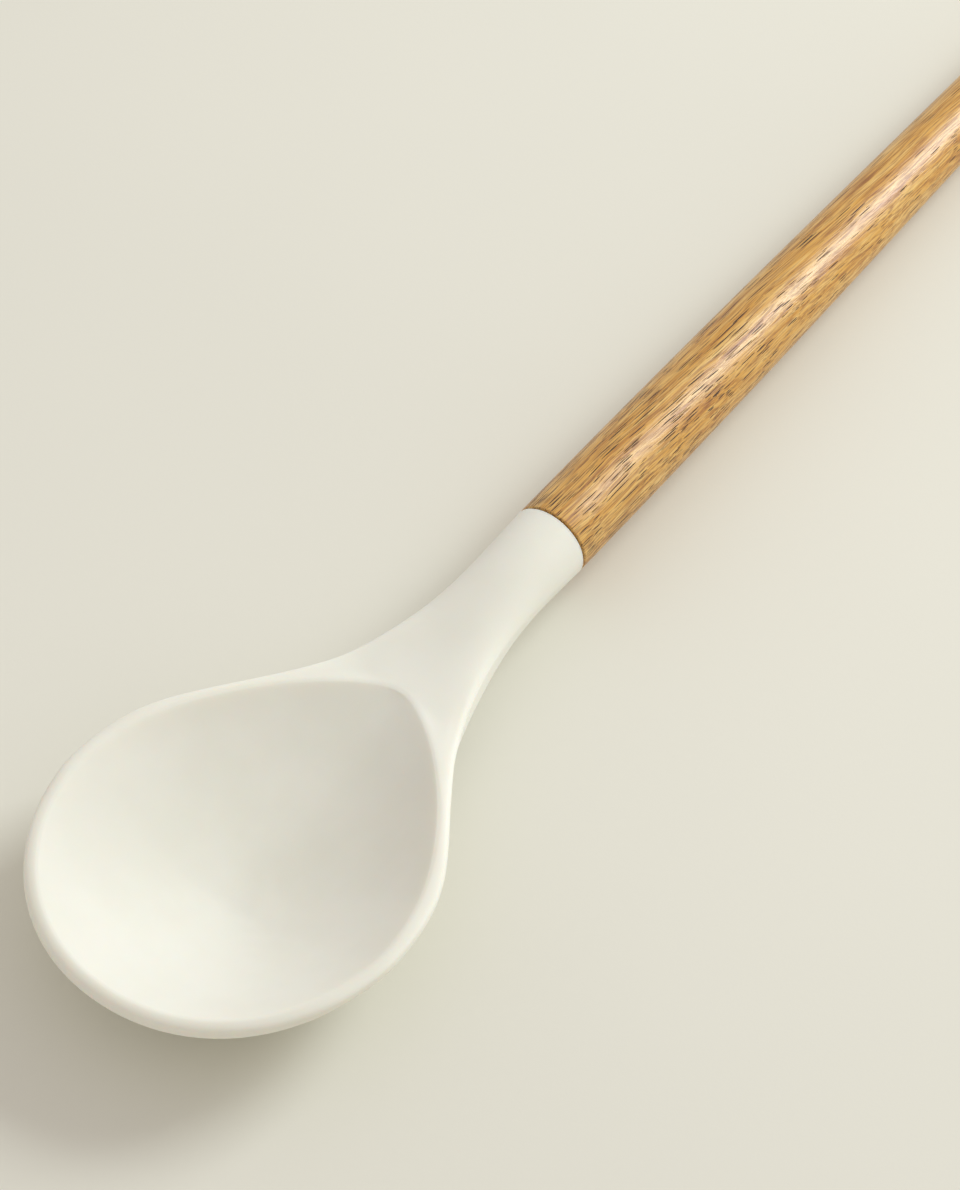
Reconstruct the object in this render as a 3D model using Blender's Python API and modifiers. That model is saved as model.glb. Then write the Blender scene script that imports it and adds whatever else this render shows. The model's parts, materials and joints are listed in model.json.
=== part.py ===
"""Silicone cooking spoon with a turned wooden handle, as four pieces that fit one another.

The soft head is moulded over a stiff perforated core, and a steel rod joins the core to the handle.
Every piece is modelled lying along X, with the joint between head and handle at x = 0, the bowl's tip
at +X and the handle along -X. An empty then lays the spoon down on its bowl and its handle's end.
Units are metres, +Z up.
"""

import math

import bmesh
import bpy
import numpy as np
from mathutils import Matrix, Vector

# Head, seen from above
HEAD_LENGTH = 0.1260
BOWL_WIDTH = 0.0700
WIDEST_AT = 0.0898
COLLAR_DIAMETER = 0.0148
COLLAR_LENGTH = 0.0103
NECK_DIAMETER = 0.0145
HOLLOW_START = 0.0447
RIM_WIDTH = 0.00296

# Head, seen from the side: heights are above the handle's axis
RIM_HEIGHT_AT_TIP = 0.0004
RIM_ARCH = 0.0025
RIM_EDGE = 0.0010
RIM_RISE = 0.00146
RIM_FILLET = 0.0022
BOWL_DEPTH = 0.0158
FLOOR_WALL = 0.0034
NECK_DEPTH = 0.0064
COLLAR_EDGE = 0.0004

# Fullness of the curves: how far each Bezier handle reaches along its stretch
NECK_HOLD = 0.611
SHOULDER_HOLD = 0.368
CHEEK_HOLD = 0.528
TIP_HOLD = 0.604
NOSE_HOLD = 0.278
NOSE_SHOULDER_HOLD = 0.452

# Section of the bowl: powers of its dished curves, and their angles in degrees where the rim meets them
HOLLOW_FULLNESS = 1.62
UNDER_FULLNESS = 2.2
UNDER_LIP = 0.85
INNER_RIM_ANGLE = 40.0
OUTER_RIM_ANGLE = 45.0

# Core inside the head
CORE_THICKNESS = 0.0012
CORE_REACH = 0.78
BOSS_DIAMETER = 0.0080
BOSS_LENGTH = 0.0175
SPINE_WIDTH = 0.0092
SPINE_THICKNESS = 0.0034
BOND_HOLE_DIAMETER = 0.0050
BOND_RING_REACH = 0.50
BOND_HOLES = 6
SPINE_SWEEP_SHARE = 0.84
SPINE_BEND_SHARE = 0.90

# Rod that joins the core to the handle
ROD_DIAMETER = 0.0050
ROD_IN_HEAD = 0.0150
ROD_IN_HANDLE = 0.0420
GROOVES_IN_HEAD = 2
GROOVES_IN_HANDLE = 6
GROOVE_PITCH = 0.0055
GROOVE_DEPTH = 0.0003
GROOVE_WIDTH = 0.0012
ROD_CHAMFER = 0.0005

# Handle: its outline is one Bezier curve from the joint to the butt
HANDLE_LENGTH = 0.2030
HANDLE_FULL_AT = 0.0850
HANDLE_FULL_DIAMETER = 0.0150
HANDLE_SLIM_AT = 0.1450
HANDLE_SLIM_DIAMETER = 0.0095
BUTT_DIAMETER = 0.0107
BUTT_ROUND = 0.0026
HANDLE_CHAMFER = 0.0003
DRILL_POINT_ANGLE = 118.0

# Fits
JOINT_GAP = 0.00035
MOULD_GAP = 0.0003
ROD_GAP = 0.0003
BORE_END_GAP = 0.0008
CORE_SET_BACK = 0.0005

# Mesh counts
RING = 24
SIDE = RING // 4
HALF_SIDE = SIDE // 2
TURNED_STEPS = 36
OUTLINE_STEPS = 12
ROUND_STEPS = 5
ROD_STEPS = 16
BOND_SIDES = 12
SEAT_ROUNDS = 8

# Where the rings of the meshes lie: shares of the way out from the bowl's middle, and, on the neck,
# a share of its length with how much of the bowl's own outline is left there
NOSE_CROWDING = 0.38
GRID_REACH = 0.45
HOLLOW_ROWS = (0.63, 0.80, 0.93, 1.0)
UNDER_ROWS = (1.0, 0.93, 0.81, 0.64)
ROOT_ROW = 6
SWELL_START = 0.60
NECK_STATIONS = (
    (0.93, 0.66),
    (0.86, 0.33),
    (0.77, 0.10),
    (0.65, 0.0),
    (0.50, 0.0),
    (0.34, 0.0),
    (0.18, 0.0),
)
PLATE_GRID_REACH = 0.42
PLATE_ROWS = (0.66, 0.86)
PLATE_ROOT_ROWS = (2, 6)

SILICONE_COLOUR = (0.86, 0.85, 0.79, 1.0)
CORE_COLOUR = (0.42, 0.42, 0.40, 1.0)
STEEL_COLOUR = (0.62, 0.62, 0.63, 1.0)
WOOD_COLOUR = (0.52, 0.27, 0.08, 1.0)


def clear_scene():
    for obj in list(bpy.data.objects):
        bpy.data.objects.remove(obj)


def collection(name, helpers=False):
    group = bpy.data.collections.new(name)
    group.hide_render = helpers
    bpy.context.scene.collection.children.link(group)
    return group


def material(name, colour, roughness, metallic=0.0):
    made = bpy.data.materials.new(name)
    made.use_nodes = True
    shader = made.node_tree.nodes["Principled BSDF"]
    shader.inputs["Base Color"].default_value = colour
    shader.inputs["Roughness"].default_value = roughness
    shader.inputs["Metallic"].default_value = metallic
    made.diffuse_color = colour
    return made


def smoothstep(value, low, high):
    share = min(max((value - low) / (high - low), 0.0), 1.0)
    return share * share * (3 - 2 * share)


def mix(a, b, share):
    return a + (b - a) * share


def bezier(points, s):
    a, b, c, d = points
    r = 1 - s
    return a * r**3 + b * 3 * r * r * s + c * 3 * r * s * s + d * s**3


def bisect(low, high, is_low):
    """The place between low and high where is_low turns false."""
    for _ in range(40):
        middle = (low + high) / 2
        if is_low(middle):
            low = middle
        else:
            high = middle
    return (low + high) / 2


# Plan of the head

HALF_WIDTH = BOWL_WIDTH / 2
NECK_RADIUS = NECK_DIAMETER / 2
COLLAR_RADIUS = COLLAR_DIAMETER / 2
FLARE_SPAN = WIDEST_AT - COLLAR_LENGTH
TIP_SPAN = HEAD_LENGTH - WIDEST_AT

FLARE = (
    Vector((COLLAR_LENGTH, NECK_RADIUS)),
    Vector((COLLAR_LENGTH + NECK_HOLD * FLARE_SPAN, NECK_RADIUS)),
    Vector((WIDEST_AT - SHOULDER_HOLD * FLARE_SPAN, HALF_WIDTH)),
    Vector((WIDEST_AT, HALF_WIDTH)),
)
CHEEK = (
    Vector((WIDEST_AT, HALF_WIDTH)),
    Vector((WIDEST_AT + CHEEK_HOLD * TIP_SPAN, HALF_WIDTH)),
    Vector((HEAD_LENGTH, TIP_HOLD * HALF_WIDTH)),
    Vector((HEAD_LENGTH, 0)),
)


def half_width(x):
    """Half the head's width, at a distance from the joint."""
    if x <= COLLAR_LENGTH:
        return mix(COLLAR_RADIUS, NECK_RADIUS, smoothstep(x, 0, COLLAR_LENGTH))
    if x >= HEAD_LENGTH:
        return 0.0
    curve = FLARE if x < WIDEST_AT else CHEEK
    s = bisect(0.0, 1.0, lambda s: bezier(curve, s).x < x)
    return bezier(curve, s).y


HOLLOW_HALF_WIDTH = HALF_WIDTH - RIM_WIDTH
HOLLOW_END = HEAD_LENGTH - RIM_WIDTH
NOSE_SPAN = WIDEST_AT - HOLLOW_START
HOLLOW_NOSE = (
    Vector((HOLLOW_START, 0)),
    Vector((HOLLOW_START, NOSE_HOLD * HOLLOW_HALF_WIDTH)),
    Vector((WIDEST_AT - NOSE_SHOULDER_HOLD * NOSE_SPAN, HOLLOW_HALF_WIDTH)),
    Vector((WIDEST_AT, HOLLOW_HALF_WIDTH)),
)
HOLLOW_CHEEK = (
    Vector((WIDEST_AT, HOLLOW_HALF_WIDTH)),
    Vector((WIDEST_AT + CHEEK_HOLD * (HOLLOW_END - WIDEST_AT), HOLLOW_HALF_WIDTH)),
    Vector((HOLLOW_END, TIP_HOLD * HOLLOW_HALF_WIDTH)),
    Vector((HOLLOW_END, 0)),
)
BOWL_CENTRE = Vector((WIDEST_AT, 0))


def hollow_curve(k):
    """Which curve of the hollow's edge a ring place lies on, and how far along it.

    Ring places run from 0 at the neck to RING / 2 at the tip, and are closer together round the nose.
    """
    quarter = RING / 4
    if k <= quarter:
        share = k / quarter
        return HOLLOW_NOSE, share * mix(1 - NOSE_CROWDING, 1, share)
    return HOLLOW_CHEEK, (k - quarter) / quarter


def wrap(k):
    """A ring place as a signed number, with the neck at 0."""
    return (k + RING / 2) % RING - RING / 2


def hollow_edge(k):
    """The hollow's edge at a ring place, and the direction out of the hollow there."""
    k = wrap(k)
    side = -1.0 if k < 0 else 1.0
    curve, s = hollow_curve(abs(k))
    step = 1e-3
    low, high = max(s - step, 0.0), min(s + step, 1.0)
    along = bezier(curve, high) - bezier(curve, low)
    point = bezier(curve, s)
    out = Vector((-along.y, along.x)).normalized()
    return Vector((point.x, point.y * side)), Vector((out.x, out.y * side))


def wall_at(k):
    """The rim's whole width at a ring place, from the hollow's edge to the outside of the head."""
    if abs(wrap(k)) < HALF_SIDE:
        return RIM_WIDTH
    edge, out = hollow_edge(k)

    def inside(reach):
        point = edge + out * reach
        return abs(point.y) < half_width(point.x)

    return bisect(0.0, 4 * RIM_WIDTH, inside)


# Heights of the head


def rim_line(x):
    """Height of the widest line of the rim and neck."""
    span = HEAD_LENGTH - HOLLOW_START
    share = min(max((x - HOLLOW_START) / span, 0.0), 1.0)
    rise = RIM_HEIGHT_AT_TIP * share + 4 * RIM_ARCH * share * (1 - share)
    return rise * smoothstep(x, 0, HOLLOW_START)


def above(x):
    """How far the neck's top stands over its widest line."""
    return mix(COLLAR_RADIUS, RIM_RISE, smoothstep(x, 0, HOLLOW_START))


def bowl_share(plan, share, margin):
    """How far out a place of the bowl counts: by the egg-shaped edge there, by an ellipse in the middle."""
    along = plan.x - WIDEST_AT
    reach = WIDEST_AT - HOLLOW_START if along < 0 else HOLLOW_END - WIDEST_AT
    even = math.hypot(along / (reach + margin), plan.y / (HOLLOW_HALF_WIDTH + margin))
    return min(mix(even, share, share * share), 1.0)


# The inner fillet ends, and the bowl's outside starts, where the rim has turned through its slope
FILLET_WIDTH = RIM_FILLET * math.sin(math.radians(INNER_RIM_ANGLE))
FILLET_DROP = RIM_FILLET * (1 - math.cos(math.radians(INNER_RIM_ANGLE)))
TUCK = RIM_EDGE * (1 - math.cos(math.radians(OUTER_RIM_ANGLE)))
TUCK_DROP = RIM_RISE * math.sin(math.radians(OUTER_RIM_ANGLE))


def hollow_point(k, share):
    """A point of the bowl's inside, from 0 at its middle to 1 at the hollow's edge."""
    edge, _ = hollow_edge(k)
    plan = BOWL_CENTRE + (edge - BOWL_CENTRE) * share
    depth = FILLET_DROP + (BOWL_DEPTH - FILLET_DROP) * (1 - bowl_share(plan, share, 0) ** HOLLOW_FULLNESS)
    return Vector((plan.x, plan.y, rim_line(plan.x) + RIM_RISE - depth))


def under_depth(share):
    """How deep the bowl's outside lies below its widest line, from 0 at its middle to 1 at its edge."""
    dome = (1 - share**UNDER_FULLNESS) ** UNDER_LIP
    return TUCK_DROP + (BOWL_DEPTH + FLOOR_WALL - RIM_RISE - TUCK_DROP) * dome


def under_point(k, share):
    """A point of the bowl's outside, from 0 at its middle to 1 where the rim's outer round ends."""
    edge, out = hollow_edge(k)
    plan = BOWL_CENTRE + (edge + out * (wall_at(k) - TUCK) - BOWL_CENTRE) * share
    depth = under_depth(bowl_share(plan, share, RIM_WIDTH - TUCK))
    return Vector((plan.x, plan.y, rim_line(plan.x) - depth))


UNDER_REACH = WIDEST_AT - HOLLOW_START + RIM_WIDTH - TUCK
ROOT_SHARE = UNDER_ROWS[-1]
ROOT_AT = WIDEST_AT - ROOT_SHARE * UNDER_REACH
SWELL_FROM = SWELL_START * HOLLOW_START


def below(x):
    """How far the underside hangs below the widest line, along the middle of the neck and of the bowl."""
    if x > ROOT_AT:
        return under_depth((WIDEST_AT - x) / UNDER_REACH)
    swell = under_depth(ROOT_SHARE) - NECK_DEPTH
    step = 0.01
    slope = (under_depth(ROOT_SHARE - step) - under_depth(ROOT_SHARE)) / (step * UNDER_REACH)
    power = max(slope * (ROOT_AT - SWELL_FROM) / swell, 1.0) if swell > 0 else 1.0
    part = max(x - SWELL_FROM, 0.0) / (ROOT_AT - SWELL_FROM)
    return mix(COLLAR_RADIUS, NECK_DEPTH, smoothstep(x, 0, HOLLOW_START)) + swell * part**power


def rim_point(k, out_by, height):
    """A point of the rim: its distance out from the hollow's edge and its height over the widest line."""
    edge, out = hollow_edge(k)
    plan = edge + out * out_by
    return Vector((plan.x, plan.y, rim_line(plan.x) + height))


def round_rim(k, turn):
    """A point of the rim's outer round, from 0 at its top to 1 at the widest line."""
    angle = turn * math.pi / 2
    return rim_point(k, wall_at(k) - RIM_EDGE * (1 - math.sin(angle)), RIM_RISE * math.cos(angle))


# Meshes grown ring by ring


def grow(bm, loop, points):
    """Extrude a closed loop of vertices and put the new loop at the points."""
    edges = [bm.edges.get(pair) for pair in zip(loop, loop[1:] + loop[:1])]
    made = bmesh.ops.extrude_edge_only(bm, edges=edges)["geom"]
    fresh = {item for item in made if isinstance(item, bmesh.types.BMVert)}
    ring = []
    for vert, point in zip(loop, points):
        new = next(e.other_vert(vert) for e in vert.link_edges if e.other_vert(vert) in fresh)
        new.co = point
        ring.append(new)
    return ring


def grid_place(gx, gy):
    """Ring place and share of the grid's reach, for a grid corner counted from the middle."""
    level = max(abs(gx), abs(gy))
    if level == 0:
        return 0.0, 0.0
    unit = HALF_SIDE / level
    if gx == -level:
        k = gy * unit
    elif gy == level:
        k = HALF_SIDE + (gx + level) * unit
    elif gx == level:
        k = 3 * HALF_SIDE + (level - gy) * unit
    else:
        k = -HALF_SIDE - (gx + level) * unit
    return k, level / HALF_SIDE


def add_grid(bm, place, flip=False):
    """A square grid bent to a dish, and its outer vertices in ring order."""
    made = bmesh.ops.create_grid(bm, x_segments=SIDE, y_segments=SIDE, size=HALF_SIDE)["verts"]
    if flip:
        faces = {face for vert in made for face in vert.link_faces}
        bmesh.ops.reverse_faces(bm, faces=list(faces))
    ring = [None] * RING
    for vert in made:
        k, share = grid_place(round(vert.co.x), round(vert.co.y))
        vert.co = place(k, share)
        if share == 1.0:
            ring[round(k) % RING] = vert
    return ring


def open_side(bm, rows, first, last, half):
    """Cut the neck's hole between two rows, half places to each side, and return its edge as a loop.

    The loop runs along the first row, down one side, back along the last row and up the other side.
    """
    width = range(-half, half + 1)
    region = {rows[row][k] for row in range(first, last + 1) for k in width}
    faces = [face for face in bm.faces if all(vert in region for vert in face.verts)]
    loop = [rows[first][k] for k in width]
    loop += [rows[row][half] for row in range(first + 1, last)]
    loop += [rows[last][k] for k in reversed(width)]
    loop += [rows[row][-half] for row in range(last - 1, first, -1)]
    bmesh.ops.delete(bm, geom=faces, context="FACES")
    return loop


def ring_angles(count, half):
    """Angles of a neck ring's vertices: across the top, down one side, back below and up the other."""
    step = 2 * math.pi / count
    start = math.pi / 2 + half * step
    return [start - step * i for i in range(count)]


def finish(bm, name, group, parent, made_of):
    bmesh.ops.recalc_face_normals(bm, faces=bm.faces[:])
    mesh = bpy.data.meshes.new(name)
    bm.to_mesh(mesh)
    bm.free()
    obj = bpy.data.objects.new(name, mesh)
    obj.parent = parent
    group.objects.link(obj)
    mesh.shade_smooth()
    if made_of:
        mesh.materials.append(made_of)
    else:
        obj.display_type = "WIRE"
        obj.hide_render = True
    return obj


def subdivide(obj, levels):
    modifier = obj.modifiers.new("smooth", "SUBSURF")
    modifier.levels = levels
    modifier.render_levels = levels
    return modifier


def seat(obj):
    """Move the cage so that its smooth surface passes through the points it was drawn with."""
    cage = obj.data.vertices
    target = np.empty(len(cage) * 3)
    cage.foreach_get("co", target)
    current = target.copy()
    for _ in range(SEAT_ROUNDS):
        graph = bpy.context.evaluated_depsgraph_get()
        smooth = obj.evaluated_get(graph).data.vertices
        reached = np.empty(len(smooth) * 3)
        smooth.foreach_get("co", reached)
        current += target - reached[: len(target)]
        cage.foreach_set("co", current)
        obj.data.update()


def boolean(obj, cutter, operation="DIFFERENCE"):
    modifier = obj.modifiers.new(cutter.name, "BOOLEAN")
    modifier.operation = operation
    modifier.object = cutter


# Silicone head


def neck_ring(x, count):
    """A straight ring of the neck as (x, side share, height share) for each vertex."""
    corner = mix(half_width(x), 2 * RIM_EDGE, smoothstep(x, COLLAR_LENGTH, HOLLOW_START))
    power = min(corner / half_width(x), 1.0)
    ring = []
    for angle in ring_angles(count, HALF_SIDE):
        across, up = math.cos(angle), math.sin(angle)
        side = math.copysign(abs(across) ** power, across)
        ring.append((x, side, math.copysign(abs(up) ** power, up)))
    return ring


def as_shares(point):
    height = point.z - rim_line(point.x)
    reach = above(point.x) if height > 0 else below(point.x)
    return point.x, point.y / half_width(point.x), height / reach


def from_shares(x, side, height):
    reach = above(x) if height > 0 else below(x)
    return Vector((x, side * half_width(x), rim_line(x) + height * reach))


def head_cage(name, group, parent, made_of):
    bm = bmesh.new()
    rows = [add_grid(bm, lambda k, share: hollow_point(k, share * GRID_REACH))]
    for share in HOLLOW_ROWS:
        rows.append(grow(bm, rows[-1], [hollow_point(k, share) for k in range(RING)]))
    half_turn = math.radians(INNER_RIM_ANGLE) / 2
    inward, drop = RIM_FILLET * math.sin(half_turn), RIM_FILLET * (1 - math.cos(half_turn))
    middle = [rim_point(k, FILLET_WIDTH - inward, RIM_RISE - drop) for k in range(RING)]
    rows.append(grow(bm, rows[-1], middle))
    rows.append(grow(bm, rows[-1], [rim_point(k, FILLET_WIDTH, RIM_RISE) for k in range(RING)]))
    crest = len(rows) - 1
    rows.append(grow(bm, rows[-1], [round_rim(k, 0.5) for k in range(RING)]))
    rows.append(grow(bm, rows[-1], [round_rim(k, 1.0) for k in range(RING)]))
    for share in UNDER_ROWS:
        rows.append(grow(bm, rows[-1], [under_point(k, share) for k in range(RING)]))
    rows.append(add_grid(bm, lambda k, share: under_point(k, share * GRID_REACH), flip=True))
    facing = [bm.edges.get(pair) for row in rows[-2:] for pair in zip(row, row[1:] + row[:1])]
    bmesh.ops.bridge_loops(bm, edges=facing)

    loop = open_side(bm, rows, crest, crest + ROOT_ROW, HALF_SIDE)
    shares = [as_shares(vert.co) for vert in loop]
    for place, blend in NECK_STATIONS:
        straight = neck_ring(place * HOLLOW_START, len(loop))
        ring = [
            from_shares(*(mix(a, b, blend) for a, b in zip(drawn, bowl)))
            for drawn, bowl in zip(straight, shares)
        ]
        loop = grow(bm, loop, ring)
    angles = ring_angles(len(loop), HALF_SIDE)
    corner = COLLAR_EDGE * (1 - math.sqrt(0.5))
    for x, radius in (
        (COLLAR_EDGE * 3, COLLAR_RADIUS),
        (COLLAR_EDGE, COLLAR_RADIUS),
        (corner, COLLAR_RADIUS - corner),
        (0.0, COLLAR_RADIUS - COLLAR_EDGE),
        (0.0, COLLAR_RADIUS - COLLAR_EDGE * 4),
    ):
        ring = [Vector((x, radius * math.cos(a), radius * math.sin(a))) for a in angles]
        loop = grow(bm, loop, ring)
    bm.faces.new(loop)
    obj = finish(bm, name, group, parent, made_of)
    subdivide(obj, 1)
    seat(obj)
    return obj


# Core


def core_point(k, share, face):
    """A point of the core's dished plate: face runs from -1 on its upper face to 1 on its lower face."""
    inside = hollow_point(k, share)
    outside = under_point(k, share)
    through = (outside - inside).normalized()
    return (inside + outside) / 2 + through * face * CORE_THICKNESS / 2


def plate_edge(k, turn):
    """A point of the plate's rounded edge, from -1 on its upper face to 1 on its lower face."""
    angle = turn * math.pi / 2
    reach = (HALF_WIDTH * CORE_REACH - CORE_THICKNESS / 2 * (1 - math.cos(angle))) / HALF_WIDTH
    return core_point(k, reach, math.sin(angle))


def spine_ring(x, z, slope, half_wide, half_thick, count, half):
    """A ring of the spine, square to its path in the middle plane."""
    across = Vector((0, 1, 0))
    up = Vector((-math.sin(slope), 0, math.cos(slope)))
    middle = Vector((x, 0, z))
    return [
        middle + across * half_wide * math.cos(a) + up * half_thick * math.sin(a)
        for a in ring_angles(count, half)
    ]


def core_cage(name, group, parent, made_of, end_at):
    """The perforated plate, the spine and the boss, ending at end_at from the joint."""
    bm = bmesh.new()
    grid_reach = PLATE_GRID_REACH * CORE_REACH
    rows = [add_grid(bm, lambda k, share: core_point(k, share * grid_reach, -1))]
    for share in PLATE_ROWS:
        rows.append(grow(bm, rows[-1], [core_point(k, share * CORE_REACH, -1) for k in range(RING)]))
    for turn in (-1, 0, 1):
        rows.append(grow(bm, rows[-1], [plate_edge(k, turn) for k in range(RING)]))
    for share in reversed(PLATE_ROWS):
        rows.append(grow(bm, rows[-1], [core_point(k, share * CORE_REACH, 1) for k in range(RING)]))
    rows.append(add_grid(bm, lambda k, share: core_point(k, share * grid_reach, 1), flip=True))
    facing = [bm.edges.get(pair) for row in rows[-2:] for pair in zip(row, row[1:] + row[:1])]
    bmesh.ops.bridge_loops(bm, edges=facing)

    half = HALF_SIDE - 1
    loop = open_side(bm, rows, *PLATE_ROOT_ROWS, half)
    sweep = core_point(0, SPINE_SWEEP_SHARE, 0)
    bend = core_point(0, SPINE_BEND_SHARE, 0)
    mid = (above(HOLLOW_START) - below(HOLLOW_START)) / 2 + rim_line(HOLLOW_START)
    wide, thick, boss = SPINE_WIDTH / 2, SPINE_THICKNESS / 2, BOSS_DIAMETER / 2
    neck = HOLLOW_START - BOSS_LENGTH
    # Along x, height, slope, half width and half thickness, from the plate up into the neck
    stations = [
        (sweep.x, sweep.z, -0.55, wide * 1.15, CORE_THICKNESS * 0.55),
        (bend.x, bend.z, -0.35, wide, CORE_THICKNESS * 0.60),
        (HOLLOW_START - 0.12 * neck, mid * 1.05, -0.08, wide, thick * 0.70),
        (HOLLOW_START - 0.40 * neck, mid * 0.80, -0.10, wide, thick * 0.90),
        (HOLLOW_START - 0.70 * neck, mid * 0.40, -0.10, mix(wide, boss, 0.6), mix(thick, boss, 0.5)),
        (BOSS_LENGTH, 0.0, 0.0, boss, boss),
        (end_at + CORE_THICKNESS, 0.0, 0.0, boss, boss),
        (end_at, 0.0, 0.0, boss, boss),
        (end_at, 0.0, 0.0, boss * 0.8, boss * 0.8),
    ]
    for x, z, slope, half_wide, half_thick in stations:
        loop = grow(bm, loop, spine_ring(x, z, slope, half_wide, half_thick, len(loop), half))
    bm.faces.new(loop)
    obj = finish(bm, name, group, parent, made_of)
    subdivide(obj, 1)
    seat(obj)
    return obj


def bond_cutter(name, group, parent, radius):
    """Short cylinders through the plate, one for each bonding hole."""
    bm = bmesh.new()
    length = 6 * CORE_THICKNESS
    for i in range(BOND_HOLES):
        k = i * RING / BOND_HOLES
        centre = core_point(k, BOND_RING_REACH, 0)
        through = core_point(k, BOND_RING_REACH, 1) - centre
        turn = through.to_track_quat("Z", "Y").to_matrix().to_4x4()
        bmesh.ops.create_cone(
            bm,
            cap_ends=True,
            segments=BOND_SIDES,
            radius1=radius,
            radius2=radius,
            depth=length,
            matrix=Matrix.Translation(centre) @ turn,
        )
    return finish(bm, name, group, parent, None)


# Turned pieces


def turned(name, group, parent, made_of, profile, steps):
    """A profile of (radius, place along the spoon) turned round the handle's axis."""
    mesh = bpy.data.meshes.new(name)
    points = [(radius, 0.0, along) for radius, along in profile]
    mesh.from_pydata(points, [(i, i + 1) for i in range(len(points) - 1)], [])
    obj = bpy.data.objects.new(name, mesh)
    obj.parent = parent
    obj.rotation_euler = (0, math.pi / 2, 0)
    group.objects.link(obj)
    screw = obj.modifiers.new("turn", "SCREW")
    screw.axis = "Z"
    screw.angle = 2 * math.pi
    screw.steps = steps
    screw.render_steps = steps
    screw.use_merge_vertices = True
    screw.merge_threshold = 1e-6
    screw.use_smooth_shade = True
    if made_of:
        mesh.materials.append(made_of)
    else:
        obj.display_type = "WIRE"
        obj.hide_render = True
    return obj


def rod_profile():
    radius = ROD_DIAMETER / 2
    top, foot = ROD_IN_HEAD, -ROD_IN_HANDLE
    places = [top - GROOVE_PITCH * (i + 1) for i in range(GROOVES_IN_HEAD)]
    places += [foot + GROOVE_PITCH * (GROOVES_IN_HANDLE - i) for i in range(GROOVES_IN_HANDLE)]
    profile = [(0, top), (radius - ROD_CHAMFER, top), (radius, top - ROD_CHAMFER)]
    for place in places:
        profile += [
            (radius, place + GROOVE_WIDTH / 2),
            (radius - GROOVE_DEPTH, place + GROOVE_WIDTH / 4),
            (radius - GROOVE_DEPTH, place - GROOVE_WIDTH / 4),
            (radius, place - GROOVE_WIDTH / 2),
        ]
    return profile + [(radius, foot + ROD_CHAMFER), (radius - ROD_CHAMFER, foot), (0, foot)]


def bore_depth(length):
    """Where a drilled bore for the rod ends: its full width, and the drill's point beyond it."""
    straight = length + BORE_END_GAP
    point = (ROD_DIAMETER / 2 + ROD_GAP) / math.tan(math.radians(DRILL_POINT_ANGLE / 2))
    return straight, straight + point


def handle_profile():
    bore = ROD_DIAMETER / 2 + ROD_GAP
    straight, point = bore_depth(ROD_IN_HANDLE)
    face = -JOINT_GAP
    butt = BUTT_DIAMETER / 2
    foot = -HANDLE_LENGTH
    profile = [
        (0, -point),
        (bore, -straight),
        (bore, face - HANDLE_CHAMFER),
        (bore + HANDLE_CHAMFER, face),
        (COLLAR_RADIUS - HANDLE_CHAMFER, face),
    ]
    outline = (
        Vector((COLLAR_RADIUS, face - HANDLE_CHAMFER)),
        Vector((HANDLE_FULL_DIAMETER / 2, -HANDLE_FULL_AT)),
        Vector((HANDLE_SLIM_DIAMETER / 2, -HANDLE_SLIM_AT)),
        Vector((butt, foot + BUTT_ROUND)),
    )
    profile += [tuple(bezier(outline, i / OUTLINE_STEPS)) for i in range(OUTLINE_STEPS + 1)]
    for i in range(1, ROUND_STEPS + 1):
        angle = i / ROUND_STEPS * math.pi / 2
        inward = BUTT_ROUND * (1 - math.cos(angle))
        profile.append((butt - inward, foot + BUTT_ROUND * (1 - math.sin(angle))))
    return profile + [(0, foot)]


def core_bore_profile():
    """The bore for the rod in the core's boss, open past its face."""
    radius = ROD_DIAMETER / 2 + ROD_GAP
    straight, point = bore_depth(ROD_IN_HEAD)
    mouth = -BORE_END_GAP
    return [(0, point), (radius, straight), (radius, mouth), (0, mouth)]


# Resting on its bowl and its handle's end


def built_points(objects):
    graph = bpy.context.evaluated_depsgraph_get()
    found = []
    for obj in objects:
        shaped = obj.evaluated_get(graph)
        matrix = shaped.matrix_world
        found += [matrix @ vert.co for vert in shaped.data.vertices]
    return np.array([tuple(point) for point in found])


def lay_down(rest, head, handle):
    """Lay the spoon's frame down so that head and handle touch z = 0, its box's middle over the origin."""
    bowl = built_points([head])
    stick = built_points([handle])

    def lowest(points, tilt):
        return (points[:, 2] * math.cos(tilt) + points[:, 0] * math.sin(tilt)).min()

    tilt = bisect(-0.3, 0.3, lambda tilt: lowest(bowl, tilt) < lowest(stick, tilt))
    turned_about = Matrix.Rotation(math.pi, 4, "Z") @ Matrix.Rotation(-tilt, 4, "Y")
    rest.rotation_euler = turned_about.to_euler()
    bpy.context.view_layer.update()
    placed = built_points([head, handle])
    low, high = placed.min(axis=0), placed.max(axis=0)
    rest.location = (-(low[0] + high[0]) / 2, -(low[1] + high[1]) / 2, -low[2])


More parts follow.
